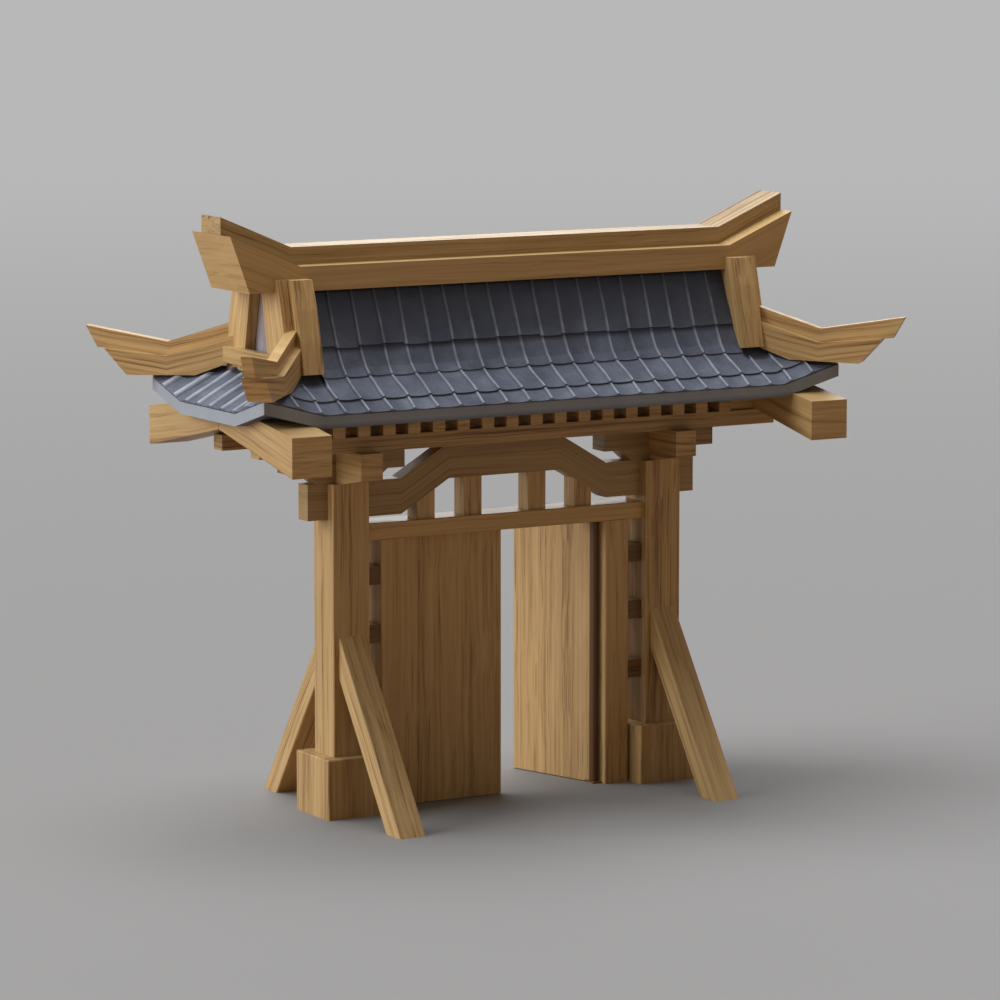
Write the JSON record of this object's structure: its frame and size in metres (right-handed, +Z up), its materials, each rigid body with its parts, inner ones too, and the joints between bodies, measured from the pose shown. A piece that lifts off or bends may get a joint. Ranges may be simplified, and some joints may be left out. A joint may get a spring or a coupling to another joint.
{
  "type": "chinese gate",
  "caption": "Timber gateway with braced posts, double-leaf door, arched tie beam and a tiled hip-and-gable roof with upswept ridge and hips.",
  "frame": {"origin": "on the ground, midway between the two posts and midway between the front and back eaves", "axes": "+X runs along the facade to the viewer's right, +Y to the back, where the leaves open, +Z up"},
  "size_m": [6.6278, 3.1112, 5.272],
  "materials": {
    "timber": "satin",
    "door_timber": "satin",
    "roof_tile": "matte"
  },
  "bodies": {
    "gate_frame": {"base_block_left": "timber", "base_block_right": "timber", "brace_back_left": "timber", "brace_back_right": "timber", "brace_front_left": "timber", "brace_front_right": "timber", "bracket_x_left": "timber", "bracket_x_right": "timber", "bracket_y_left": "timber", "bracket_y_right": "timber", "ceiling_boards": "door_timber", "end_beam_back_left": "timber", "end_beam_back_right": "timber", "end_beam_front_left": "timber", "end_beam_front_right": "timber", "gable_battens_left": "timber", "gable_battens_right": "timber", "gable_boards_left": "timber", "gable_boards_right": "timber", "gable_foot_left": "timber", "gable_foot_right": "timber", "gable_walls": "roof_tile", "hip_beams": "timber", "hip_caps": "timber", "jamb_left": "door_timber", "jamb_right": "door_timber", "jamb_rungs": "door_timber", "joists": "door_timber", "lintel": "door_timber", "pivot_shoes": "door_timber", "post_left": "timber", "post_right": "timber", "purlin_back": "timber", "purlin_front": "timber", "ridge_beam": "timber", "ridge_cap": "timber", "roof_back": "roof_tile", "roof_front": "roof_tile", "roof_left": "roof_tile", "roof_right": "roof_tile", "tie_beam": "timber", "transom_struts": "door_timber"},
    "left_leaf": {"leaf_left": "door_timber"},
    "right_leaf": {"leaf_right": "door_timber"}
  },
  "joints": [
    {"name": "left_leaf_swing", "type": "hinge", "parent": "gate_frame", "child": "left_leaf", "pos_m": [-0.985, 0, 0], "axis": [0, 0, 1], "range_deg": [0, 90]},
    {"name": "right_leaf_swing", "type": "hinge", "parent": "gate_frame", "child": "right_leaf", "pos_m": [0.985, 0, 0], "axis": [0, 0, -1], "range_deg": [-73.5, 16.5]}
  ]
}
